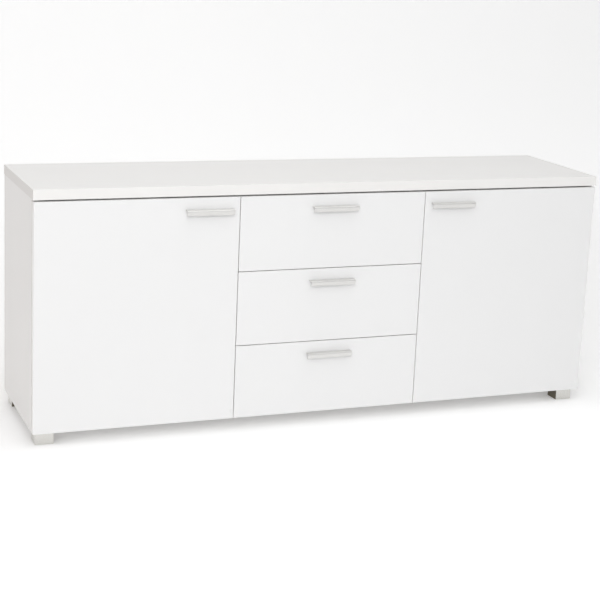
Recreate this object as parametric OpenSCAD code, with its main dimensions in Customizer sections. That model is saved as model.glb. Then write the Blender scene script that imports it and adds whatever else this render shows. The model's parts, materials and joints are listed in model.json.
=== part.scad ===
// Sideboard buffet: two doors, three drawers, a board case on four block feet.
// X runs along the front, -Y is the front, +Z is up. The floor is z = 0.

/* [Overall size] */
// Width of the top, end to end
width = 1500; // [1200:1:1800]
// Depth from the face of the fronts to the back edge of the top
depth = 360; // [330:1:480]
// Height from the floor to the top surface
height = 622; // [540:1:760]
// Height of the block feet
foot_h = 33; // [28:1:60]
// Width of the column of drawers, between the two door gaps
column_w = 495; // [400:1:560]

/* [Boards] */
// Thickness of the top panel
top_t = 25; // [22:1:30]
// Thickness of the case boards and shelves
board_t = 16; // [15:1:19]
// Thickness of the doors and drawer fronts
front_t = 16; // [16:1:19]
// Thickness of the back sheets and drawer bottoms
sheet_t = 3; // [3:0.5:4]
// How far the top reaches past each side panel
top_over = 1; // [0.5:0.5:4]

/* [Gaps] */
// Gap between neighbouring fronts
front_gap = 2; // [1.5:0.5:4]
// Gap between the fronts and the underside of the top
top_gap = 4; // [3:0.5:6]
// Gap between the back of the fronts and the case
case_gap = 2.5; // [2.5:0.5:3]

/* [Feet and shelves] */
// Side of the square foot
foot_w = 45; // [40:1:60]
// Radius of a foot's upright corners
foot_r = 1.5; // [1:0.5:6]
// Inset of a foot from the outer face of the side panel
foot_in = 10; // [6:1:14]
// Height of the shelves' underside above the bottom panel
shelf_up = 251; // [180:1:300]

/* [Handles] */
// Length of a handle
handle_l = 120; // [110:1:160]
// Height of a handle
handle_h = 14; // [13:1:20]
// How far a handle stands out from its front
handle_out = 16; // [15:1:20]
// How far the handle's front face leans back, top to bottom
handle_lean = 5; // [3:0.5:6]
// Distance from a front's top edge to its handle
handle_down = 28; // [24:1:34]
// Distance from a door's free edge to its handle
handle_in = 17; // [12:1:30]

/* [Drawers] */
// Height of the drawer boxes
box_h = 130; // [110:1:135]
// Thickness of the drawer sides and backs
box_t = 12; // [12:1:15]
// Length of the drawer runners
runner_l = 300; // [250:1:305]

/* [Hidden] */
$fn = 48;

// Small clearance of a fit, all round
fit = 0.05;
// Overcut, so that a cutter passes clear through a face
over = 1;
// Extra depth of a blind hole past its screw, bolt or dowel
deep = 0.3;

// Planes along Y: face of the fronts, front edge of the case, back edge
y_face = handle_out - (depth + handle_out) / 2;
y_case = y_face + front_t + case_gap;
y_back = y_face + depth;

// Planes along Z: underside of the top, top face of the bottom panel, fronts' top edge
z_top = height - top_t;
z_floor = foot_h + board_t;
z_fronts = z_top - top_gap;
fronts_h = z_fronts - foot_h;

// Planes along X: side panel's outer and inner face, centre of a partition
x_out = width / 2 - top_over;
x_in = x_out - board_t;
x_part = column_w / 2;

// Fronts
door_reveal = 1;
door_x0 = x_out - door_reveal;
door_x1 = x_part + front_gap / 2;
drawer_front_w = column_w - front_gap;
drawer_front_h = (fronts_h - 2 * front_gap) / 3;
drawer_pitch = drawer_front_h + front_gap;

// Grooves for the sheets
groove = 5;
sheet_in = groove - 0.5;
back_in = 9;
y_sheet = y_back - back_in - sheet_t;

// Cam fittings: distance of the cam from the board's end, and rows from the case's edges
cam_d = 15;
cam_h = 12.5;
cam_set = 34;
cam_row = 70;
cam_rows = [y_case + cam_row, y_back - cam_row];
cross_w = 1.2;
cross_deep = 1.2;
bolt_neck = 5;
bolt_head = 7;
bolt_head_l = 3.5;
bolt_tip = 1;
bolt_collar = 7;
bolt_bore = 8;
thread_d = 6;
thread_l = 11;
dowel_d = 8;
dowel_up = 11;
dowel_down = 18;
dowel_from_cam = 50;
dowel_rows = [cam_rows[0] + dowel_from_cam, cam_rows[1] - dowel_from_cam];

// Shelf pins: a row of holes every 32 mm, in from each edge of the case
pin_d = 5;
pin_deep = 8;
pin_from_front = 55;
pin_from_back = 75;
pin_rows = [y_case + pin_from_front, y_back - pin_from_back];
pin_steps = [-2, -1, 0, 1, 2];
pin_pitch = 32;
shelf_gap = 1;
shelf_back = 20;
z_shelf = z_floor + shelf_up;
z_pin = z_shelf - pin_d / 2;

// Concealed hinges, in their own frame: u in from the side panel's inner face,
// v forward from the case's front edge. The arm holds pivot A, the cup holds pivot B.
hinge_edge = 90;
hinge_z = [foot_h + hinge_edge, z_fronts - hinge_edge];
pivot_a = [16, -2.2];
pivot_b = [-5.6, case_gap + 5.6];
link_knee = [pivot_b[0] + 9.6, pivot_b[1] + 2.8];
link_w = 12;
link_t = 2.4;
eye_d = 4.6;
hinge_pin_d = 3;
cheek = 1.5;
cheek_in = link_w / 2 + 0.3;
cup_d = 35;
cup_h = 12;
cup_edge = 5;
cup_floor = 1;
cup_well = [2.6, 13];
cup_u = x_in - door_x0 + cup_edge + cup_d / 2;
plate_t = 3;
plate_v = -37;
plate_w = 18;
plate_hole = 16;
plate_end = 7;
arm_wall = 3;
arm_top = pivot_a[0] + arm_wall;
arm_front = pivot_a[1] + arm_wall;
arm_back = -56;
arm_slot = 14;
ear_z = 22.5;
ear_u = cup_u + 9.5;
ear_t = 1;
ear_r = 5;

// Euro screws, and the small chipboard screws of the hinge ears and runners
euro_d = 5;
euro_head_d = 9.5;
euro_head_h = 1.5;
euro_bite = 11;
chip_d = 3;
chip_pilot = chip_d + 2 * fit;
chip_pass = 3.6;
chip_head = 6.5;
chip_bite = 9;

// Foot screws: up through the foot into the bottom panel, short of the back's groove
foot_screw_d = 4.5;
foot_head_d = 9;
foot_head_h = 3;
foot_sink = 12;
foot_screw_edge = 12;
foot_bite = board_t - groove - 1;

// Clear bumpers on the partitions' front edges
bumper_d = 6;
bumper_edge = 30;
bumper_in = 3.2;

// Drawers and runners
runner_w = 12.7;
steel_t = 1.2;
runner_h = 45;
runner_up = 40;
runner_set = 2;
slide_gap = 0.35;
case_reach = 9.6;
slide_x0 = steel_t + 2;
slide_x1 = 11.2;
half_case = runner_h / 2;
half_slide = half_case - steel_t - slide_gap;
half_drawer = half_slide - steel_t - slide_gap;
box_up = 20;
bottom_up = 10;
y_runner = y_case + runner_set;
y_box = y_face + front_t;
box_l = runner_l + case_gap + runner_set;
bay_w = column_w - board_t;
box_w = bay_w - 2 * runner_w;
runner_holes = [37, 261];
member_holes = [60, 240];
box_cam_d = 12;
box_cam_h = 9;
box_cam_set = 24;
box_cams = [27, 105];
box_bolt_d = 5;
box_bolt_bore = 6.2;
box_bolt_bite = 10;
back_screws = [75, 110];
back_screw_d = 3.5;
back_screw_head = 6.8;
back_screw_head_l = 1.9;
back_screw_l = 32;

// Handle: two screws through the front into bosses behind the lip
handle_pitch = 96;
handle_wall = 2.2;
handle_screw_d = 4;
handle_head_d = 8;
handle_head_h = 2;
handle_boss_d = 12;
handle_boss_l = 8;
handle_bite = 6.5;
handle_x = -door_x1 - handle_in - handle_l / 2;
handle_z = z_fronts - handle_down;

white = "#EFEEEC";
raw_board = "#C9B08A";
sheet_white = "#E4E2DE";
steel = "#B9BCC0";
satin = "#D8DBDE";
clear_dot = "#E9E9E6";

function drawer_z(i) = foot_h + i * drawer_pitch;

// ---------- small shared shapes ----------

module box(from, to) {
    translate(from) cube(to - from);
}

// Cylinder between two heights, on the Z axis
module rod(d, z0, z1) {
    translate([0, 0, z0]) cylinder(d = d, h = z1 - z0);
}

// The child on both sides of the middle plane
module both_sides() {
    children();
    mirror([1, 0, 0]) children();
}

// From the hinge's (u, v, z) to the left-hand side of the case
module hinge_frame(z) {
    translate([-x_in, y_case, z]) mirror([0, 1, 0]) children();
}

// ---------- carcass fittings ----------

// Cam bolt along +Z: head at the cam, thread past the board's end at cam_set
module cam_bolt(reach) {
    rod(bolt_head, -bolt_tip, bolt_head_l - bolt_tip);
    rod(bolt_neck, 0, reach);
    rod(bolt_head, reach - bolt_collar, reach);
    rod(thread_d, reach - over, reach + thread_l);
}

// The holes a cam bolt needs: a bore in the board's end and a thread hole past it
module cam_bolt_hole(reach) {
    rod(bolt_bore, -bolt_tip - deep, reach + fit);
    rod(thread_d + 2 * fit, reach - over, reach + thread_l + deep);
}

// Cam lock: its open face at z = 0, its body below; the bolt enters along +X
module cam_lock(d, h, bore) {
    difference() {
        rod(d - 2 * fit, -h + fit, 0);
        translate([-bolt_tip - over, 0, -board_t / 2]) rotate([0, 90, 0]) rod(bore, 0, d);
        box([-d / 3, -cross_w / 2, -cross_deep], [d / 3, cross_w / 2, over]);
        box([-cross_w / 2, -d / 3, -cross_deep], [cross_w / 2, d / 3, over]);
    }
}

// Places a fitting at each cam of the top joints and of the partitions' lower ends
// (local Z points along the bolt, local -X out of the face that shows the cam)
module at_board_cams() {
    for (y = cam_rows) {
        both_sides() translate([-x_in - board_t / 2, y, z_top - cam_set]) children();
        both_sides() translate([-x_part, y, z_top - cam_set]) mirror([1, 0, 0]) children();
        both_sides() translate([-x_part, y, z_floor + cam_set]) mirror([1, 0, 0])
            mirror([0, 0, 1]) children();
    }
}

// Places a fitting at each cam of the bottom panel's ends (bolts point outwards)
module at_bottom_cams() {
    for (y = cam_rows)
        both_sides() translate([-x_in + cam_set, y, foot_h + board_t / 2])
            rotate([0, -90, 0]) children();
}

module board_cam_shape(d, h) {
    translate([board_t / 2, 0, 0]) rotate([0, 90, 0]) rotate([0, 0, 180]) cam_lock(d, h, bolt_bore);
}

module all_cam_bores() {
    at_board_cams() translate([board_t / 2 - cam_h, 0, 0]) rotate([0, 90, 0])
        rod(cam_d, 0, cam_h + over);
    at_bottom_cams() translate([-board_t / 2 + cam_h, 0, 0]) rotate([0, -90, 0])
        rod(cam_d, 0, cam_h + over);
    at_board_cams() cam_bolt_hole(cam_set);
    at_bottom_cams() cam_bolt_hole(cam_set);
}

module at_dowels() {
    for (y = dowel_rows) {
        both_sides() translate([-x_in - board_t / 2, y, z_top]) children();
        both_sides() translate([-x_part, y, z_top]) children();
        both_sides() translate([-x_part, y, z_floor]) mirror([0, 0, 1]) children();
        both_sides() translate([-x_in, y, foot_h + board_t / 2]) rotate([0, -90, 0]) children();
    }
}

module all_dowel_holes() {
    at_dowels() rod(dowel_d, -dowel_down - deep, dowel_up + deep);
}

module shelf_pin() {
    rotate([0, 90, 0]) rod(pin_d, 0, pin_deep);
    rotate([0, -90, 0]) rod(pin_d, 0, pin_deep - 1);
}

// Left bay: pins in the side panel and in the partition, at one height
module at_pins(z) {
    for (y = pin_rows) both_sides() {
        translate([-x_in, y, z]) children();
        translate([-x_part - board_t / 2, y, z]) mirror([1, 0, 0]) children();
    }
}

module all_pin_holes() {
    for (k = pin_steps) at_pins(z_pin + k * pin_pitch)
        rotate([0, -90, 0]) rod(pin_d + 2 * fit, -over, pin_deep);
}

module all_back_grooves() {
    both_sides() {
        box([-x_in - groove, y_sheet - fit, foot_h + board_t - groove],
            [-x_part - board_t / 2 + groove, y_sheet + sheet_t + fit, z_top + groove]);
    }
    box([-x_part + board_t / 2 - groove, y_sheet - fit, foot_h + board_t - groove],
        [x_part - board_t / 2 + groove, y_sheet + sheet_t + fit, z_top + groove]);
}

// Euro screw along +X: flat head outside x = 0, thread inside
module euro_screw(grip) {
    rotate([0, 90, 0]) {
        rod(euro_head_d, -grip - euro_head_h, -grip);
        rod(euro_d, -grip - euro_head_h / 2, euro_bite);
    }
}

module at_plate_screws() {
    for (z = hinge_z, s = [-plate_hole, plate_hole])
        both_sides() translate([-x_in, y_case - plate_v, z + s]) mirror([1, 0, 0]) children();
}

module at_runner_screws() {
    for (i = [0, 1, 2], y = runner_holes)
        both_sides() translate([-x_part + board_t / 2, y_runner + y, runner_z(i)])
            mirror([1, 0, 0]) children();
}

function runner_z(i) = drawer_z(i) + box_up + runner_up;

module all_euro_holes() {
    at_plate_screws() rotate([0, 90, 0]) rod(euro_d + 2 * fit, -over, euro_bite + deep);
    at_runner_screws() rotate([0, 90, 0]) rod(euro_d + 2 * fit, -over, euro_bite + deep);
}

// Foot screws: two on each foot's diagonal
module at_feet() {
    for (y = [y_case, y_back - foot_w])
        both_sides() translate([-x_out + foot_in, y, 0]) children();
}

module at_foot_screws() {
    at_feet() for (s = [foot_screw_edge, foot_w - foot_screw_edge]) translate([s, s, 0]) children();
}

module foot_screw_holes() {
    at_foot_screws() {
        rod(foot_head_d + 1, -over, foot_sink);
        rod(foot_screw_d + 2 * fit, foot_sink - over, foot_h + foot_bite + deep);
    }
}

// ---------- carcass ----------

module top_panel() {
    color(white) difference() {
        box([-width / 2, y_face, z_top], [width / 2, y_back, height]);
        all_back_grooves();
        all_cam_bores();
        all_dowel_holes();
    }
}

module side_panel() {
    color(white) difference() {
        box([-x_out, y_case, foot_h], [-x_in, y_back, z_top]);
        all_back_grooves();
        all_cam_bores();
        all_dowel_holes();
        all_pin_holes();
        all_euro_holes();
    }
}

module bottom_panel() {
    color(white) difference() {
        box([-x_in, y_case, foot_h], [x_in, y_back, z_floor]);
        all_back_grooves();
        all_cam_bores();
        all_dowel_holes();
        foot_screw_holes();
    }
}

module partition() {
    color(white) difference() {
        box([-x_part - board_t / 2, y_case, z_floor], [-x_part + board_t / 2, y_back, z_top]);
        all_back_grooves();
        all_cam_bores();
        all_dowel_holes();
        all_pin_holes();
        all_euro_holes();
    }
}

module back_sheet(x0, x1) {
    color(sheet_white)
        box([x0 - sheet_in, y_sheet, z_floor - sheet_in], [x1 + sheet_in, y_sheet + sheet_t, z_top + sheet_in]);
}

module back_left() {
    back_sheet(-x_in, -x_part - board_t / 2);
}

module back_middle() {
    back_sheet(-x_part + board_t / 2, x_part - board_t / 2);
}

module shelf() {
    color(white)
        box([-x_in + shelf_gap, y_case + shelf_back, z_shelf],
            [-x_part - board_t / 2 - shelf_gap, y_sheet - shelf_gap, z_shelf + board_t]);
}

module shelf_pins() {
    color(steel) at_pins(z_pin) shelf_pin();
}

// Square block with rounded upright corners
module rounded_block(side, r, h) {
    translate([r, 0, 0]) cube([side - 2 * r, side, h]);
    translate([0, r, 0]) cube([side, side - 2 * r, h]);
    for (x = [r, side - r], y = [r, side - r]) translate([x, y, 0]) cylinder(r = r, h = h);
}

module foot(y) {
    color(satin) difference() {
        translate([-x_out + foot_in, y, 0]) rounded_block(foot_w, foot_r, foot_h);
        foot_screw_holes();
    }
}

module foot_screws() {
    color(steel) at_foot_screws() {
        rod(foot_head_d, foot_sink - foot_head_h, foot_sink);
        rod(foot_screw_d, foot_sink - over, foot_h + foot_bite);
    }
}

module cam_locks() {
    color(steel) {
        at_board_cams() board_cam_shape(cam_d, cam_h);
        at_bottom_cams() mirror([1, 0, 0]) board_cam_shape(cam_d, cam_h);
    }
}

module cam_bolts() {
    color(steel) {
        at_board_cams() cam_bolt(cam_set);
        at_bottom_cams() cam_bolt(cam_set);
    }
}

module dowels() {
    color(raw_board) at_dowels() rod(dowel_d - 2 * fit, -dowel_down, dowel_up);
}

module euro_screws() {
    color(steel) {
        at_plate_screws() euro_screw(plate_t);
        at_runner_screws() euro_screw(steel_t);
    }
}

module bumpers() {
    color(clear_dot) for (z = [foot_h + bumper_edge, z_fronts - bumper_edge])
        both_sides() translate([-door_x1 - bumper_in, y_case, z]) rotate([90, 0, 0])
            rod(bumper_d, 0, case_gap - deep);
}

// ---------- hinges ----------

// Mounting plate on the side panel, and the arm that clips over it
module hinge_arm() {
    difference() {
        box([0, plate_v - plate_w / 2, -plate_hole - plate_end],
            [plate_t, plate_v + plate_w / 2, plate_hole + plate_end]);
        for (s = [-plate_hole, plate_hole])
            translate([0, plate_v, s]) rotate([0, 90, 0]) rod(euro_d + 2 * fit, -over, plate_t + over);
    }
    difference() {
        box([plate_t, arm_back, -cheek_in - cheek], [arm_top, arm_front, cheek_in + cheek]);
        box([plate_t - over, arm_back + arm_wall, -cheek_in],
            [arm_top - cheek, arm_front + over, cheek_in]);
        box([plate_t - over, pivot_a[1] - arm_slot, -cheek_in],
            [arm_top + over, arm_front + over, cheek_in]);
        translate(concat(pivot_a, 0)) rod(hinge_pin_d + 2 * fit, -link_w, link_w);
    }
}

module hinge_arms() {
    color(steel) for (z = hinge_z) hinge_frame(z) hinge_arm();
}

// Straight bar of the link between two points
module link_bar(p, q) {
    run = q - p;
    translate([p[0], p[1], -link_w / 2]) rotate([0, 0, atan2(run[1], run[0])])
        translate([0, -link_t / 2, 0]) cube([norm(run), link_t, link_w]);
}

// Cranked link with a pivot pin at each end
module hinge_link() {
    link_bar(pivot_b, link_knee);
    link_bar(link_knee, pivot_a);
    translate(concat(link_knee, 0)) rod(link_t, -link_w / 2, link_w / 2);
    for (p = [pivot_a, pivot_b]) translate(concat(p, 0)) {
        rod(eye_d, -link_w / 2, link_w / 2);
        rod(hinge_pin_d, -cheek_in - cheek, cheek_in + cheek);
    }
}

module hinge_links() {
    color(steel) for (z = hinge_z) hinge_frame(z) hinge_link();
}

// Hinge cup, sunk in the door's back, with two screw ears
module hinge_cup() {
    difference() {
        union() {
            translate([cup_u, case_gap, 0]) rotate([-90, 0, 0]) rod(cup_d - 2 * fit, 0, cup_h);
            box([cup_u - ear_r, case_gap - ear_t, -ear_z - ear_r], [ear_u + ear_r, case_gap, ear_z + ear_r]);
        }
        box([pivot_b[0] - cup_well[0], -over, -cheek_in],
            [cup_u + cup_well[1], case_gap + cup_h - cup_floor, cheek_in]);
        translate(concat(pivot_b, 0))
            rod(hinge_pin_d + 2 * fit, -cheek_in - cheek - deep, cheek_in + cheek + deep);
        at_ear_screws() rotate([-90, 0, 0]) rod(chip_pass, -ear_t - over, over);
    }
}

module at_ear_screws() {
    for (s = [-ear_z, ear_z]) translate([ear_u, case_gap, s]) children();
}

module hinge_cups() {
    color(steel) for (z = hinge_z) hinge_frame(z) hinge_cup();
}

// ---------- doors ----------

// Places a fitting at each handle screw, with local +Z into the front
module at_handle_screws(x, z) {
    for (s = [-handle_pitch / 2, handle_pitch / 2])
        translate([x + s, y_face, z - handle_h / 2]) rotate([-90, 0, 0]) children();
}

module handle_screw() {
    rod(handle_screw_d, -handle_bite, front_t);
    rod(handle_head_d, front_t, front_t + handle_head_h);
}

module handle_screw_hole() {
    rod(handle_screw_d + 2 * fit, -handle_bite - deep, front_t + over);
}

module door() {
    color(white) difference() {
        box([-door_x0, y_face, foot_h], [-door_x1, y_face + front_t, z_fronts]);
        for (z = hinge_z) hinge_frame(z) {
            translate([cup_u, case_gap, 0]) rotate([-90, 0, 0]) rod(cup_d, -over, cup_h + deep);
            at_ear_screws() rotate([-90, 0, 0]) rod(chip_pilot, -over, chip_bite + deep);
        }
        at_handle_screws(handle_x, handle_z) handle_screw_hole();
    }
}

module door_screws() {
    color(steel) {
        at_handle_screws(handle_x, handle_z) handle_screw();
        for (z = hinge_z) hinge_frame(z) at_ear_screws() rotate([-90, 0, 0]) {
            rod(chip_d, -ear_t - over / 2, chip_bite);
            rod(chip_head, -ear_t - over, -ear_t);
        }
    }
}

// Handle profile: x is out from the front, y is down from the handle's top edge.
// A flat top wall, and a front wall that leans back towards its lower edge.
module handle_profile() {
    lip = handle_out - handle_lean;
    wall = handle_wall * norm([handle_h, handle_lean]) / handle_h;
    knee = handle_out - handle_lean * handle_wall / handle_h - wall;
    polygon([[0, 0], [handle_out, 0], [lip, -handle_h], [lip - wall, -handle_h],
        [knee, -handle_wall], [0, -handle_wall]]);
}

// Boss behind the lip: round below, square up to the top wall
module handle_boss() {
    rod(handle_boss_d, -handle_boss_l, 0);
    box([-handle_boss_d / 2, -handle_h / 2, -handle_boss_l], [handle_boss_d / 2, 0, 0]);
}

module handle(x, z) {
    color(satin) difference() {
        union() {
            translate([x - handle_l / 2, y_face, z]) rotate([90, 0, 90]) linear_extrude(handle_l)
                mirror([1, 0]) handle_profile();
            at_handle_screws(x, z) handle_boss();
        }
        at_handle_screws(x, z) handle_screw_hole();
    }
}

// ---------- drawers ----------

// Channel of bent steel, opening towards +X, on the plane x = x0 and reaching to x1
module channel(x0, x1, half_h, y0, y1) {
    difference() {
        box([x0, y0, -half_h], [x1, y1, half_h]);
        box([x0 + steel_t, y0 - over, -half_h + steel_t], [x1 + over, y1 + over, half_h - steel_t]);
    }
}

module runner_place(i) {
    both_sides() translate([-x_part + board_t / 2, 0, runner_z(i)]) children();
}

module member_holes(x, at, d) {
    for (y = at) translate([x, y_runner + y, 0]) rotate([0, 90, 0]) rod(d, -4, 4);
}

module runner_case_members() {
    color(steel) for (i = [0, 1, 2]) runner_place(i) difference() {
        channel(0, case_reach, half_case, y_runner, y_runner + runner_l);
        member_holes(0, runner_holes, euro_d + 2 * fit);
    }
}

module drawer_slides(i) {
    color(steel) runner_place(i) channel(slide_x0, slide_x1, half_slide, y_runner, y_runner + runner_l);
}

module drawer_runners(i) {
    color(steel) runner_place(i) difference() {
        translate([runner_w, 0, 0]) mirror([1, 0, 0])
            channel(0, runner_w - slide_x0 - steel_t - 1, half_drawer, y_runner, y_runner + runner_l);
        member_holes(runner_w, member_holes, chip_pass);
    }
}

// Places a fitting at a drawer's outer side face, with local +X into the drawer
module at_box_side(i, y, z) {
    both_sides() translate([-box_w / 2, y, drawer_z(i) + box_up + z]) children();
}

module box_cam_bores(i) {
    for (z = box_cams) at_box_side(i, y_box + box_cam_set, z) {
        translate([box_t - box_cam_h, 0, 0]) rotate([0, 90, 0]) rod(box_cam_d, 0, box_cam_h + over);
        translate([box_t / 2, 0, 0]) rotate([90, 0, 0]) {
            rod(box_bolt_bore, 0, box_cam_set + fit);
            rod(box_bolt_d + 2 * fit, 0, box_cam_set + box_bolt_bite + deep);
        }
    }
}

module member_screw_holes(i) {
    for (y = member_holes) at_box_side(i, y_runner + y, runner_up)
        rotate([0, 90, 0]) rod(chip_pilot, -over, chip_bite + deep);
}

module back_screw_holes(i) {
    for (z = back_screws) at_box_side(i, y_box + box_l - box_t / 2, z)
        rotate([0, 90, 0]) {
            rod(back_screw_head + 2 * deep, -over, 2);
            rod(back_screw_d + 2 * fit, 0, back_screw_l + deep);
        }
}

module bottom_groove(i) {
    z = drawer_z(i) + box_up + bottom_up;
    x = box_w / 2 - box_t + groove;
    box([-x, y_box - groove, z - fit], [x, y_box + box_l + over, z + sheet_t + fit]);
}

module drawer_front(i) {
    z = drawer_z(i);
    color(white) difference() {
        box([-drawer_front_w / 2, y_face, z], [drawer_front_w / 2, y_face + front_t, z + drawer_front_h]);
        bottom_groove(i);
        box_cam_bores(i);
        at_handle_screws(0, z + drawer_front_h - handle_down) handle_screw_hole();
    }
}

module drawer_sides(i) {
    z = drawer_z(i) + box_up;
    color(sheet_white) difference() {
        both_sides() box([-box_w / 2, y_box, z], [-box_w / 2 + box_t, y_box + box_l, z + box_h]);
        bottom_groove(i);
        box_cam_bores(i);
        member_screw_holes(i);
        back_screw_holes(i);
    }
}

module drawer_back(i) {
    z = drawer_z(i) + box_up;
    color(sheet_white) difference() {
        box([-box_w / 2 + box_t, y_box + box_l - box_t, z + bottom_up + sheet_t + fit],
            [box_w / 2 - box_t, y_box + box_l, z + box_h]);
        back_screw_holes(i);
    }
}

module drawer_bottom(i) {
    z = drawer_z(i) + box_up + bottom_up;
    x = box_w / 2 - box_t + sheet_in;
    color(sheet_white) box([-x, y_box - sheet_in, z], [x, y_box + box_l - 0.5, z + sheet_t]);
}

module drawer_handle(i) {
    handle(0, drawer_z(i) + drawer_front_h - handle_down);
}

module drawer_fixings(i) {
    color(steel) {
        at_handle_screws(0, drawer_z(i) + drawer_front_h - handle_down) handle_screw();
        for (z = box_cams) at_box_side(i, y_box + box_cam_set, z) {
            translate([box_t, 0, 0]) difference() {
                rotate([0, 90, 0]) rod(box_cam_d - 2 * fit, -box_cam_h + fit, 0);
                translate([-box_t / 2, 2, 0]) rotate([90, 0, 0]) rod(box_bolt_bore, 0, box_cam_d);
                box([-cross_deep, -box_cam_d / 3, -cross_w / 2], [over, box_cam_d / 3, cross_w / 2]);
            }
            translate([box_t / 2, 0, 0]) rotate([90, 0, 0]) {
                rod(box_bolt_d, 0, bolt_head_l);
                rod(box_bolt_d - 1, 0, box_cam_set);
                rod(box_bolt_d, box_cam_set - bolt_collar, box_cam_set + box_bolt_bite);
            }
        }
        for (y = member_holes) at_box_side(i, y_runner + y, runner_up) rotate([0, 90, 0]) {
            rod(chip_d, -steel_t - over, chip_bite);
            rod(chip_head, -steel_t - over, -steel_t);
        }
        for (z = back_screws) at_box_side(i, y_box + box_l - box_t / 2, z) rotate([0, 90, 0]) {
            rod(back_screw_head, 0, back_screw_head_l);
            rod(back_screw_d, 0, back_screw_l);
        }
    }
}

top_panel();
side_panel();  // side_panel_left
mirror([1, 0, 0]) side_panel();  // side_panel_right
bottom_panel();
partition();  // partition_left
mirror([1, 0, 0]) partition();  // partition_right
back_left();
back_middle();
mirror([1, 0, 0]) back_left();  // back_right
shelf();  // shelf_left
mirror([1, 0, 0]) shelf();  // shelf_right
shelf_pins();
foot(y_case);  // foot_front_left
mirror([1, 0, 0]) foot(y_case);  // foot_front_right
foot(y_back - foot_w);  // foot_back_left
mirror([1, 0, 0]) foot(y_back - foot_w);  // foot_back_right
foot_screws();
cam_locks();
cam_bolts();
dowels();
hinge_arms();  // hinge_arms_left
mirror([1, 0, 0]) hinge_arms();  // hinge_arms_right
euro_screws();
runner_case_members();
bumpers();
hinge_links();  // hinge_links_left
mirror([1, 0, 0]) hinge_links();  // hinge_links_right
door();  // door_left
mirror([1, 0, 0]) door();  // door_right
handle(handle_x, handle_z);  // door_left_handle
handle(-handle_x, handle_z);  // door_right_handle
hinge_cups();  // door_left_hinge_cups
mirror([1, 0, 0]) hinge_cups();  // door_right_hinge_cups
door_screws();  // door_left_screws
mirror([1, 0, 0]) door_screws();  // door_right_screws
drawer_front(2);  // drawer_top_front
drawer_sides(2);  // drawer_top_sides
drawer_back(2);  // drawer_top_back
drawer_bottom(2);  // drawer_top_bottom
drawer_handle(2);  // drawer_top_handle
drawer_fixings(2);  // drawer_top_fixings
drawer_runners(2);  // drawer_top_runners
drawer_slides(2);  // drawer_top_slides
drawer_front(1);  // drawer_mid_front
drawer_sides(1);  // drawer_mid_sides
drawer_back(1);  // drawer_mid_back
drawer_bottom(1);  // drawer_mid_bottom
drawer_handle(1);  // drawer_mid_handle
drawer_fixings(1);  // drawer_mid_fixings
drawer_runners(1);  // drawer_mid_runners
drawer_slides(1);  // drawer_mid_slides
drawer_front(0);  // drawer_low_front
drawer_sides(0);  // drawer_low_sides
drawer_back(0);  // drawer_low_back
drawer_bottom(0);  // drawer_low_bottom
drawer_handle(0);  // drawer_low_handle
drawer_fixings(0);  // drawer_low_fixings
drawer_runners(0);  // drawer_low_runners
drawer_slides(0);  // drawer_low_slides
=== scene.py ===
"""A low white sideboard: a foil-faced case, two doors, three drawers, lip handles and block feet."""
import json
import math

import bmesh
import bpy
import numpy as np
from mathutils import Matrix, Vector


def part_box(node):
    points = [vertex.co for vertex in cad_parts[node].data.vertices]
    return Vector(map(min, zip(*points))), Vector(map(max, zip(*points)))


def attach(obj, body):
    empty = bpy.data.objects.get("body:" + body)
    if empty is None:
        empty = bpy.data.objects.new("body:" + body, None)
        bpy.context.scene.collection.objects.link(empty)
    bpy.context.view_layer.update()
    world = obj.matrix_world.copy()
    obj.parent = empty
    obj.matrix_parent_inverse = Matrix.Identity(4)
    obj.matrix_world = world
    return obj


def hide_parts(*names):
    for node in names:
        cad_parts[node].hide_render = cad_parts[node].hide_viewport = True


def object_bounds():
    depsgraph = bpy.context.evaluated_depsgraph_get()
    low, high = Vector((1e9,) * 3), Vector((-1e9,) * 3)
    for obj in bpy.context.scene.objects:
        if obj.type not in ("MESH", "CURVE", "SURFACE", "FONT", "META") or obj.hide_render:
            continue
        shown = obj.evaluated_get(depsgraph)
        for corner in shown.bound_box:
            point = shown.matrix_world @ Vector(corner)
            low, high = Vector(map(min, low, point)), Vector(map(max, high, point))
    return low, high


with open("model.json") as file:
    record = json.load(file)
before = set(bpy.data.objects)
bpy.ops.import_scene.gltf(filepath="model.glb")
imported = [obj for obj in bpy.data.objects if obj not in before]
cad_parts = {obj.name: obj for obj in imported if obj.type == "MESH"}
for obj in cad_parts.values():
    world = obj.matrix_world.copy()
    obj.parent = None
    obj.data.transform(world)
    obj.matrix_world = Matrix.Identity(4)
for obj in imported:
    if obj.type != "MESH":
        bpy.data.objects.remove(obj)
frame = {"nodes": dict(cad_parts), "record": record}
cad_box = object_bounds()
MM = 0.001

# ---------------------------------------------------------------------------------------------
# Camera: 3.4 m off the front left corner and 0.6 m above the top, with a long lens. Its horizon
# leans 2.6 degrees, and its frame is shifted down a little.
low = Vector(cad_box[0])
front_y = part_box("door_left")[0].y
eye = Vector((low.x - 0.670, front_y - 3.291, low.z + 1.234))
ahead = Vector((0.36713, 0.90392, -0.21940)).normalized()
right = Vector((0.92928, -0.36675, 0.04399))
right = (right - right.dot(ahead) * ahead).normalized()
camera_data = bpy.data.cameras.new("camera")
camera_data.sensor_width = 36.0
camera_data.lens = 88.44
camera_data.shift_x = -0.0026
camera_data.shift_y = -0.0702
camera_data.clip_end = 50.0
camera = bpy.data.objects.new("camera", camera_data)
turn = Matrix((right, right.cross(ahead), -ahead)).transposed()
camera.matrix_world = Matrix.Translation(eye) @ turn.to_4x4()
bpy.context.scene.collection.objects.link(camera)
bpy.context.scene.camera = camera

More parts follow.
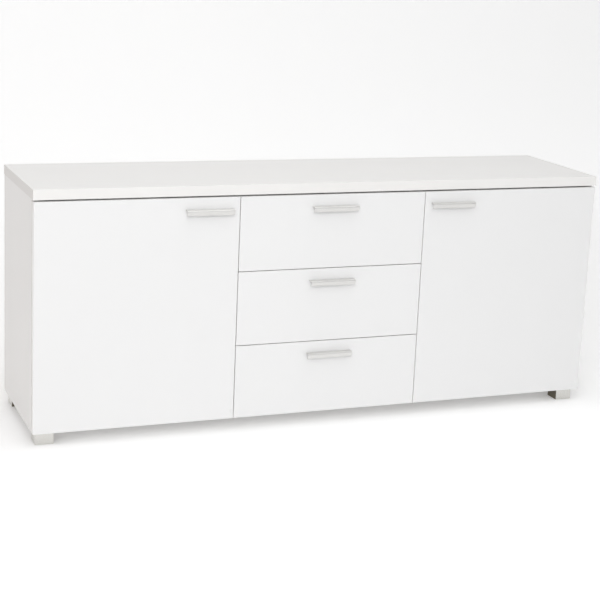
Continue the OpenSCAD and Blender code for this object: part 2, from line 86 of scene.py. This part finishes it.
# ---------------------------------------------------------------------------------------------
# Studio: a pale floor that runs up into a curved backdrop, and three large soft lights.
# The key light stands to the front left, and a weak warm fill lights the left end of the case.
def linear(hex_colour):
    """sRGB hex to linear RGBA: c/12.92 below 0.04045, else ((c + 0.055)/1.055)^2.4."""
    c = np.array([int(hex_colour[i:i + 2], 16) / 255 for i in (0, 2, 4)])
    rgb = np.where(c <= 0.04045, c / 12.92, ((c + 0.055) / 1.055) ** 2.4)
    return (*rgb.tolist(), 1.0)


def add_node(tree, kind, settings=None, links=None):
    """Adds a shader node, sets its attributes or input values, and links its inputs.

    A key of settings is an attribute if the node has it, else an input's name or number."""
    node = tree.nodes.new(kind)
    for key, value in (settings or {}).items():
        if isinstance(key, str) and hasattr(node, key):
            setattr(node, key, value)
        else:
            node.inputs[key].default_value = value
    for key, source in (links or {}).items():
        tree.links.new(source, node.inputs[key])
    return node


def new_material(name, hex_colour, roughness, metallic=0.0, **sockets):
    """A named material with one Principled shader: returns the material, its tree and the shader."""
    material = bpy.data.materials.new(name)
    material.use_nodes = True
    tree = material.node_tree
    shader = tree.nodes["Principled BSDF"]
    shader.inputs["Base Color"].default_value = linear(hex_colour)
    shader.inputs["Roughness"].default_value = roughness
    shader.inputs["Metallic"].default_value = metallic
    for key, value in sockets.items():
        shader.inputs[key.replace("_", " ")].default_value = value
    return material, tree, shader


def mesh_object(name, points, faces, smooth=False):
    """An object at the origin from an (n, 3) array in metres and a list of faces."""
    mesh = bpy.data.meshes.new(name)
    mesh.from_pydata(np.asarray(points, float).tolist(), [], [list(map(int, f)) for f in faces])
    mesh.polygons.foreach_set("use_smooth", np.full(len(mesh.polygons), smooth))
    mesh.update()
    piece = bpy.data.objects.new(name, mesh)
    bpy.context.scene.collection.objects.link(piece)
    return piece


def object_coordinates(tree, scale=1.0):
    """Object coordinates, in metres, times scale."""
    coordinates = add_node(tree, "ShaderNodeTexCoord")
    return add_node(tree, "ShaderNodeVectorMath", {"operation": "SCALE", "Scale": scale},
                    {0: coordinates.outputs["Object"]}).outputs["Vector"]


def studio_strip(name, y, z):
    """A strip of white paper: the profile y, z carried along x."""
    half_width, count = 9.0, len(y)
    x = np.repeat([-half_width, half_width], count)
    points = np.column_stack([x, np.tile(y, 2), np.tile(z, 2)])
    faces = [(i, i + count, i + count + 1, i + 1) for i in range(count - 1)]
    strip = mesh_object(name, points, faces, smooth=True)
    strip.data.materials.append(white_paper)


# White paper, evenly lit from behind: its glow grows from 0.5 m to 3 m behind the sideboard.
white_paper, tree, shader = new_material("white_paper", "FFFFFF", 0.9,
                                         Emission_Color=linear("FFFFFF"))
depth_back = add_node(tree, "ShaderNodeSeparateXYZ", links={"Vector": object_coordinates(tree)})
glow = add_node(tree, "ShaderNodeMapRange",
                {"From Min": 0.5, "From Max": 3.0, "To Min": 0.12, "To Max": 0.30},
                {"Value": depth_back.outputs["Y"]})
tree.links.new(glow.outputs["Result"], shader.inputs["Emission Strength"])
front_end, back_end, bend_radius, wall_top, sink = -7.0, 2.5, 2.5, 6.5, 0.2 * MM
bend = np.linspace(0, math.pi / 2, 33)
studio_strip("floor", np.array([front_end, back_end]), np.array([-sink, -sink]))
studio_strip("backdrop", back_end + bend_radius * np.append(np.sin(bend), 1.0),
             np.append(bend_radius * (1 - np.cos(bend)), wall_top) - sink)


def soft_light(name, place, size, power, hex_colour="FFFFFF", aim=(0.0, 0.0, 0.3)):
    """A square area light at place that faces aim."""
    data = bpy.data.lights.new(name, "AREA")
    data.size, data.energy = size, power
    data.color = linear(hex_colour)[:3]
    lamp = bpy.data.objects.new(name, data)
    lamp.location = place
    lamp.rotation_euler = (Vector(aim) - Vector(place)).to_track_quat("-Z", "Y").to_euler()
    bpy.context.scene.collection.objects.link(lamp)


soft_light("key", (-1.8, -4.4, 2.8), 3.0, 110)
soft_light("overhead", (0.0, -0.9, 3.5), 3.0, 44)
soft_light("left_fill", (-4.2, 0.6, 1.6), 2.5, 3.2, "FF9468")
world = bpy.data.worlds.new("studio_air")
world.use_nodes = True
world.node_tree.nodes["Background"].inputs["Color"].default_value = linear("FFFFFF")
world.node_tree.nodes["Background"].inputs["Strength"].default_value = 0.362
bpy.context.scene.world = world
bpy.context.scene.view_settings.view_transform = "Standard"

# ---------------------------------------------------------------------------------------------
# Boards of the case, the doors and the drawer fronts: particle board faced with white foil and
# edged with ABS band, so each long edge is rounded to about 1 mm. Cams and dowels hold it together.
def noise(tree, grain_mm, detail, vector=None, **inputs):
    """Perlin noise with grains of grain_mm, on object coordinates unless a vector is given."""
    if vector is None:
        vector = object_coordinates(tree, 1000.0)
    return add_node(tree, "ShaderNodeTexNoise", {"Scale": 1.0 / grain_mm, "Detail": detail, **inputs},
                    {"Vector": vector}).outputs["Fac"]


def lift(tree, shader, height, strength, depth_mm):
    """Bump that stands up by height times depth_mm, mixed in by strength."""
    bump = add_node(tree, "ShaderNodeBump", {"Strength": strength, "Distance": depth_mm * MM},
                    {"Height": height})
    tree.links.new(bump.outputs["Normal"], shader.inputs["Normal"])


def vary_gloss(tree, shader, value, lowest, highest):
    """Roughness that runs from lowest to highest as value runs from 0 to 1."""
    gloss = add_node(tree, "ShaderNodeMapRange", {"To Min": lowest, "To Max": highest},
                     {"Value": value})
    tree.links.new(gloss.outputs["Result"], shader.inputs["Roughness"])


def vary_shade(tree, shader, value, dark, light, start=0.0, end=1.0):
    """Colour that runs from dark to light as value runs from start to end."""
    shade = add_node(tree, "ShaderNodeValToRGB", links={"Fac": value})
    first, last = shade.color_ramp.elements
    first.color, last.color = linear(dark), linear(light)
    first.position, last.position = start, end
    tree.links.new(shade.outputs["Color"], shader.inputs["Base Color"])


def foil_board(name, hex_colour, roughness, peel_mm=1.4, peel_depth_mm=0.012, slow_mm=90.0, coat=0.0):
    """White decor foil: satin, with the faint orange peel that pressing leaves.

    The peel is a noise of peel_mm grain. A slow noise of slow_mm varies the gloss by 0.05 and mixes
    in up to 8 % of a whiter tone, so that a wide board isn't one even patch."""
    material, tree, shader = new_material(name, hex_colour, roughness, Coat_Weight=coat,
                                          Coat_Roughness=0.12)
    lift(tree, shader, noise(tree, peel_mm, 2.0), 0.35, peel_depth_mm)
    slow = noise(tree, slow_mm, 1.0)
    vary_gloss(tree, shader, slow, roughness - 0.05, roughness + 0.05)
    share = add_node(tree, "ShaderNodeMapRange", {"To Min": 0.0, "To Max": 0.08}, {"Value": slow})
    tint = add_node(tree, "ShaderNodeMixRGB", {1: linear(hex_colour), 2: linear("F4F4F3")},
                    {0: share.outputs["Result"]})
    tree.links.new(tint.outputs["Color"], shader.inputs["Base Color"])
    return material


def merged_copy(node, name):
    """A copy of a CAD node with its loose triangles joined and its flat faces made whole."""
    source = frame["nodes"][node]
    work = bmesh.new()
    work.from_mesh(source.data)
    bmesh.ops.remove_doubles(work, verts=work.verts, dist=1e-6)
    bmesh.ops.dissolve_limit(work, angle_limit=math.radians(0.5), verts=work.verts, edges=work.edges)
    mesh = bpy.data.meshes.new(name)
    work.to_mesh(mesh)
    work.free()
    piece = bpy.data.objects.new(name, mesh)
    bpy.context.scene.collection.objects.link(piece)
    return piece


def mesh_numbers(items, attribute, width, kind=float):
    """An (n, width) array of an attribute of a mesh's vertices, edges or faces."""
    numbers = np.empty(len(items) * width, kind)
    items.foreach_get(attribute, numbers)
    return numbers.reshape(-1, width)


def stand_for(piece, node, body):
    """Makes a piece replace its CAD node and ride with the same body."""
    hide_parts(node)
    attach(piece, body)


def round_box_edges(piece, radius, segments=3, near=0.01 * MM):
    """Rounds only the straight edges of the piece's own box, and leaves bores and grooves sharp."""
    mesh = piece.data
    points = mesh_numbers(mesh.vertices, "co", 3)
    on_side = np.hstack([np.abs(points - points.min(0)) < near, np.abs(points - points.max(0)) < near])
    ends = mesh_numbers(mesh.edges, "vertices", 2, int)
    shared = (on_side[ends[:, 0]] & on_side[ends[:, 1]]).sum(1)
    weight = mesh.attributes.new("bevel_weight_edge", "FLOAT", "EDGE")
    weight.data.foreach_set("value", (shared >= 2).astype(float))
    bevel = piece.modifiers.new("edge_radius", "BEVEL")
    bevel.limit_method = "WEIGHT"
    bevel.width, bevel.segments = radius, segments
    bevel.use_clamp_overlap = False
    bevel.harden_normals = True
    mesh.polygons.foreach_set("use_smooth", np.full(len(mesh.polygons), True))
    mesh.set_sharp_from_angle(angle=math.radians(30))


def particle_board(name, chip_mm=1.8):
    """Raw particle board: Voronoi chips of chip_mm, each its own shade of wood, in a darker glue."""
    material, tree, shader = new_material(name, "C2A680", 0.85)
    chips = add_node(tree, "ShaderNodeTexVoronoi", {"Scale": 1.0 / chip_mm},
                     {"Vector": object_coordinates(tree, 1000.0)})
    vary_shade(tree, shader, chips.outputs["Color"], "8F714A", "D9C19B")
    lift(tree, shader, chips.outputs["Distance"], 0.6, 0.15)
    return material


X, Y, Z = 0, 1, 2


def name_faces(piece, band_sides, raw_sides, near=0.01 * MM):
    """Sets each face's material: 0 foil, 1 edge band on band_sides, 2 raw board on raw_sides and in bores.

    A side is a pair (axis, -1 or 1). A face is on a side if its normal points that way and its centre
    lies on the piece's own box."""
    mesh = piece.data
    centre = mesh_numbers(mesh.polygons, "center", 3)
    normal = mesh_numbers(mesh.polygons, "normal", 3)
    corners = mesh_numbers(mesh.vertices, "co", 3)
    ends = {-1: corners.min(0), 1: corners.max(0)}
    index = np.full(len(mesh.polygons), 2)
    for axis in (X, Y, Z):
        for sign in (-1, 1):
            here = (normal[:, axis] * sign > 0.99) & (np.abs(centre[:, axis] - ends[sign][axis]) < near)
            kind = 1 if (axis, sign) in band_sides else 2 if (axis, sign) in raw_sides else 0
            index[here] = kind
    mesh.polygons.foreach_set("material_index", index)


def banded_board(node, body, materials, band_sides, raw_sides=(), radius=1.0 * MM):
    """A board with rounded edges. Its materials are foil, edge band and raw board."""
    piece = merged_copy(node, node + "_board")
    for material in materials:
        piece.data.materials.append(material)
    name_faces(piece, band_sides, raw_sides)
    round_box_edges(piece, radius)
    stand_for(piece, node, body)


def finish_node(node, material):
    """Gives a CAD node its material."""
    frame["nodes"][node].data.materials.clear()
    frame["nodes"][node].data.materials.append(material)


# The fronts' foil is glossier than the case's, and the edge bands are a little matter than the foils.
raw_board = particle_board("raw_particle_board")
white_foil = foil_board("white_decor_foil", "E9E8E6", 0.36)
front_foil = foil_board("white_front_foil", "E8E8E8", 0.30, coat=0.15)
# The case's edge band is a tenth darker than its foil.
case_band = foil_board("abs_case_edge_band", "DEDCD9", 0.42, peel_mm=0.8)
# The fronts' edge band is whiter than their foil, which lightens the shaded gap walls between the fronts:
# painted light.
front_band_painted_light = foil_board("abs_front_edge_band_painted_light", "F6F6F5", 0.36, peel_mm=0.8)
case_board = [white_foil, case_band, raw_board]
banded_board("top_panel", "carcass", case_board, [(X, -1), (X, 1)], [(Y, 1)])
for node in ("side_panel_left", "side_panel_right", "partition_left", "partition_right"):
    banded_board(node, "carcass", case_board, [(Y, -1), (Z, -1)], [(Y, 1), (Z, 1)])
for node in ("bottom_panel", "shelf_left", "shelf_right"):
    banded_board(node, "carcass", case_board, [(Y, -1)], [(Y, 1), (X, -1), (X, 1)])
levels = ("top", "mid", "low")
fronts = {"door_left": "door_left", "door_right": "door_right",
          **{f"drawer_{level}_front": "drawer_" + level for level in levels}}
for node, body in fronts.items():
    banded_board(node, body, [front_foil, front_band_painted_light, raw_board],
                 [(X, -1), (X, 1), (Z, -1), (Z, 1)], radius=0.8 * MM)

# ---------------------------------------------------------------------------------------------
# Drawer boxes: 12 mm board in a matt white foil, dowelled and cammed to the front, with a
# lacquered hardboard bottom that slides into a groove all round.
drawer_foil = foil_board("matt_drawer_foil", "E9E7E3", 0.5, peel_mm=2.0)
for level in levels:
    finish_node(f"drawer_{level}_sides", drawer_foil)
    finish_node(f"drawer_{level}_back", drawer_foil)

# ---------------------------------------------------------------------------------------------
# Back sheets and drawer bottoms: 3 mm hardboard, lacquered white on the inside. The fibres
# show through the lacquer as a fine random fleck.
def hardboard(name, hex_colour, fleck_mm=1.2):
    """Lacquered hardboard: a noise of fleck_mm grain mixes two close shades and lifts the surface."""
    material, tree, shader = new_material(name, hex_colour, 0.55)
    fleck = noise(tree, fleck_mm, 4.0, Roughness=0.7)
    vary_shade(tree, shader, fleck, "DAD6CE", hex_colour, start=0.35, end=0.6)
    lift(tree, shader, fleck, 0.4, 0.04)
    return material


sheet_lacquer = hardboard("lacquered_hardboard", "EAE7E1")
for node in ["back_left", "back_middle", "back_right"] + [f"drawer_{k}_bottom" for k in levels]:
    finish_node(node, sheet_lacquer)

# ---------------------------------------------------------------------------------------------
# Handles: a 120 mm die-cast lip under satin silver lacquer. A flat top wall runs out to a bowed
# front wall that leans back, and two bosses behind it take the screws that come through the front.
def rounded(corners, radii, steps=6):
    """Closed outline through corners, each rounded to its radius r.

    An arc's centre lies on the corner's bisector, r / sin(half the corner's angle) from it, and the
    arc runs between the tangent points, r / tan(half the angle) along each side."""
    corners, radii = np.asarray(corners, float), np.asarray(radii, float)[:, None]
    back, on = np.roll(corners, 1, 0) - corners, np.roll(corners, -1, 0) - corners
    back /= np.linalg.norm(back, axis=1)[:, None]
    on /= np.linalg.norm(on, axis=1)[:, None]
    half = 0.5 * np.arccos(np.clip((back * on).sum(1), -1, 1))[:, None]
    centre = corners + (back + on) / np.linalg.norm(back + on, axis=1)[:, None] * radii / np.sin(half)
    first = corners + back * radii / np.tan(half) - centre
    last = corners + on * radii / np.tan(half) - centre
    sweep = math.pi - 2 * half
    t = np.linspace(0, 1, steps)[:, None, None]
    arcs = centre + (np.sin((1 - t) * sweep) * first + np.sin(t * sweep) * last) / np.sin(sweep)
    return arcs.transpose(1, 0, 2).reshape(-1, 2)


def shrunk(outline, inset):
    """The outline moved inwards by inset along its own normals."""
    step = np.roll(outline, -1, 0) - np.roll(outline, 1, 0)
    normal = np.column_stack([-step[:, 1], step[:, 0]]) / np.linalg.norm(step, axis=1)[:, None]
    ahead_x, ahead_y = np.roll(outline, -1, 0).T
    area = 0.5 * np.sum(outline[:, 0] * ahead_y - ahead_x * outline[:, 1])
    return outline + normal * inset * np.sign(area)


def stacked_rings(rings):
    """Points and faces of a closed solid: rings (k, n, 3) joined in order, both ends capped."""
    count, n, _ = rings.shape
    index = np.arange(count * n).reshape(count, n)
    turned = np.roll(index, -1, 1)
    quads = np.stack([index[:-1], turned[:-1], turned[1:], index[1:]], -1).reshape(-1, 4)
    return rings.reshape(-1, 3), quads.tolist() + [index[0, ::-1].tolist(), index[-1].tolist()]


def lip_outline(height, reach, lean=5 * MM, wall=2.2 * MM, bow=1.2 * MM):
    """Outline (out, up) of the lip, up = 0 at its top.

    Down the front face, t from 0 to 1, it leans back by lean t and bows out by 4 bow t (1 - t)."""
    t = np.array([0.0, 0.4, 0.6, 0.8, 1.0])
    front = np.column_stack([reach - lean * t + 4 * bow * t * (1 - t), -height * t])
    tip, knee = reach - lean - wall, reach - wall - lean * wall / height
    inner = [(tip, -height), (knee, -wall), (0.0, -wall), (0.0, 0.0)]
    nose, bowed, tip_edge, knee_inside, seat_inside, seat = 3.5, 12.0, 1.0, 1.2, 0.1, 0.3
    radii = np.array([nose, bowed, bowed, bowed, tip_edge, tip_edge, knee_inside, seat_inside, seat])
    return rounded(np.vstack([front, inner]), radii * MM)


def boss_outline(width, height, sunk=1 * MM, seam=0.1 * MM):
    """Outline (across, up) of a boss: square up into the lip's top wall, half round below."""
    half = width / 2
    bottom = -height / 2 - half
    corners = [(-half, -sunk), (half, -sunk), (half, bottom), (-half, bottom)]
    return rounded(corners, [seam, seam, half * 0.98, half * 0.98], steps=12)


def handle_piece(node, body, chamfer=0.3 * MM, screw_pitch=96 * MM, boss_width=12 * MM,
                 boss_length=8 * MM, boss_chamfer=0.4 * MM):
    """Carries the lip outline along x, with chamfered ends, and stands two bosses behind it."""
    lowest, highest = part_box(node)
    outline = lip_outline(highest.z - lowest.z, highest.y - lowest.y)
    ends = shrunk(outline, chamfer)
    rings = np.array([np.column_stack([np.full(len(o), x), highest.y - o[:, 0], highest.z + o[:, 1]])
                      for x, o in ((lowest.x, ends), (lowest.x + chamfer, outline),
                                   (highest.x - chamfer, outline), (highest.x, ends))])
    points, faces = stacked_rings(rings)
    boss = boss_outline(boss_width, highest.z - lowest.z)
    stack = [(0.0, boss), (boss_length - boss_chamfer, boss), (boss_length, shrunk(boss, boss_chamfer))]
    for side in (-1, 1):
        across = (lowest.x + highest.x + side * screw_pitch) / 2
        rings = np.array([np.column_stack([across + o[:, 0], np.full(len(o), highest.y - out),
                                           highest.z + o[:, 1]]) for out, o in stack])
        boss_points, boss_faces = stacked_rings(rings)
        faces += [[i + len(points) for i in face] for face in boss_faces]
        points = np.vstack([points, boss_points])
    piece = mesh_object(node + "_casting", points, faces, smooth=True)
    work = bmesh.new()
    work.from_mesh(piece.data)
    bmesh.ops.recalc_face_normals(work, faces=work.faces)
    work.to_mesh(piece.data)
    work.free()
    piece.data.set_sharp_from_angle(angle=math.radians(40))
    piece.data.materials.append(satin_silver)
    stand_for(piece, node, body)


def silver_lacquer(name, hex_colour, roughness, line_mm=0.35, stretch=60):
    """Silver lacquer: part metal flake, part binder, over a linish that runs along x.

    The linish is a noise stretched along x. Real lines are about 0.05 mm apart, and are drawn at
    line_mm so that they show."""
    material, tree, shader = new_material(name, hex_colour, roughness, metallic=0.75,
                                          Anisotropic=0.4)
    stretched = add_node(tree, "ShaderNodeMapping", {"Scale": (1 / stretch, 1.0, 1.0)},
                         {"Vector": object_coordinates(tree, 1000.0)})
    lines = noise(tree, line_mm, 3.0, stretched.outputs["Vector"])
    vary_gloss(tree, shader, lines, roughness - 0.07, roughness + 0.07)
    lift(tree, shader, lines, 0.3, 0.01)
    return material


satin_silver = silver_lacquer("satin_silver_lacquer", "DEDDDB", 0.42)
for side in ("left", "right"):
    handle_piece(f"door_{side}_handle", "door_" + side)
for level in levels:
    handle_piece(f"drawer_{level}_handle", "drawer_" + level)

# ---------------------------------------------------------------------------------------------
# Feet: satin silver blocks, silver on their outer faces. The faces that look under the case, and the
# top and bottom, are painted dark brown: a painted reflection of the shade under the case. Two screws run
# up through each block.
# The silver is brushed fine enough to look like an even satin, with a slight grit in its gloss.
foot_silver, tree, shader = new_material("satin_silver_foot", "D6D5D1", 0.26, metallic=1.0)
grit = noise(tree, 0.5, 2.0)
lift(tree, shader, grit, 0.35, 0.02)
vary_gloss(tree, shader, grit, 0.20, 0.32)


def painted_shade_material(name, hex_colour, light_hex, speck_mm=0.6):
    """Painted shade: a dark colour, which a fine noise of the given grain lifts and mixes with a lighter
    tone.
    """
    material, tree, shader = new_material(name, hex_colour, 0.5)
    skin = noise(tree, speck_mm, 3.0)
    shade = add_node(tree, "ShaderNodeMixRGB", {1: linear(hex_colour), 2: linear(light_hex)},
                     {0: skin})
    tree.links.new(shade.outputs["Color"], shader.inputs["Base Color"])
    lift(tree, shader, skin, 0.5, 0.03)
    return material


# Painted shade: the dark brown for the foot faces that look under the case, where the silver would reflect
# shade.
painted_shade_faces = painted_shade_material("painted_shade_foot_faces", "57503F", "6B6453")
for row, y_out in (("front", -1), ("back", 1)):
    for side, x_out in (("left", -1), ("right", 1)):
        node = f"foot_{row}_{side}"
        piece = merged_copy(node, node + "_block")
        faces = piece.data.polygons
        normal = mesh_numbers(faces, "normal", 3)
        outward = (normal[:, :2] * (x_out, y_out)).max(1)
        # Faces that point outwards keep the silver; the others get the painted shade.
        silver_faces = (outward > 0.1) & (np.abs(normal[:, 2]) < 0.5)
        piece.data.materials.append(painted_shade_faces)
        piece.data.materials.append(foot_silver)
        faces.foreach_set("material_index", silver_faces.astype(int))
        faces.foreach_set("use_smooth", np.full(len(faces), True))
        piece.data.set_sharp_from_angle(angle=math.radians(30))
        stand_for(piece, node, "carcass")

# ---------------------------------------------------------------------------------------------
# Hinges, runners and screws: zinc-plated steel, bright and slightly cloudy, and zinc castings.
def plated_steel(name, hex_colour, roughness, cloud_mm):
    """Zinc plate: slow clouds of cloud_mm vary the gloss and lift the surface a little."""
    material, tree, shader = new_material(name, hex_colour, roughness, metallic=1.0)
    cloud = noise(tree, cloud_mm, 3.0)
    vary_gloss(tree, shader, cloud, roughness - 0.08, roughness + 0.1)
    lift(tree, shader, cloud, 0.25, 0.01)
    return material


bright_plate = plated_steel("zinc_plated_steel", "C4C6C8", 0.3, 6.0)
cast_zinc = plated_steel("die_cast_zinc", "A9AAAB", 0.48, 3.0)
steel_nodes = [n["node"] for n in frame["record"]["subparts"] if n["material_slot"] == "bright_steel"]
for node in steel_nodes:
    finish_node(node, bright_plate)
finish_node("cam_locks", cast_zinc)

# ---------------------------------------------------------------------------------------------
# Dowels: fluted beech. Bumpers: soft clear polyurethane dots on the partitions' front edges.
# The beech's grain runs along the dowel. The dots are half clear, with the uneven gloss of a soft skin.
beech, tree, shader = new_material("bare_beech", "C9A57C", 0.6)
along_z = add_node(tree, "ShaderNodeMapping", {"Scale": (1.0, 1.0, 0.1)},
                   {"Vector": object_coordinates(tree, 1000.0)})
grain = noise(tree, 0.8, 4.0, along_z.outputs["Vector"])
vary_shade(tree, shader, grain, "B58E63", "D6B78F")
lift(tree, shader, grain, 0.4, 0.05)
finish_node("dowels", beech)
clear_dot, tree, shader = new_material("clear_polyurethane", "EDEDEA", 0.2, IOR=1.5,
                                       Transmission_Weight=0.5)
tack = noise(tree, 1.5, 2.0)
vary_gloss(tree, shader, tack, 0.14, 0.34)
lift(tree, shader, tack, 0.3, 0.02)
finish_node("bumpers", clear_dot)
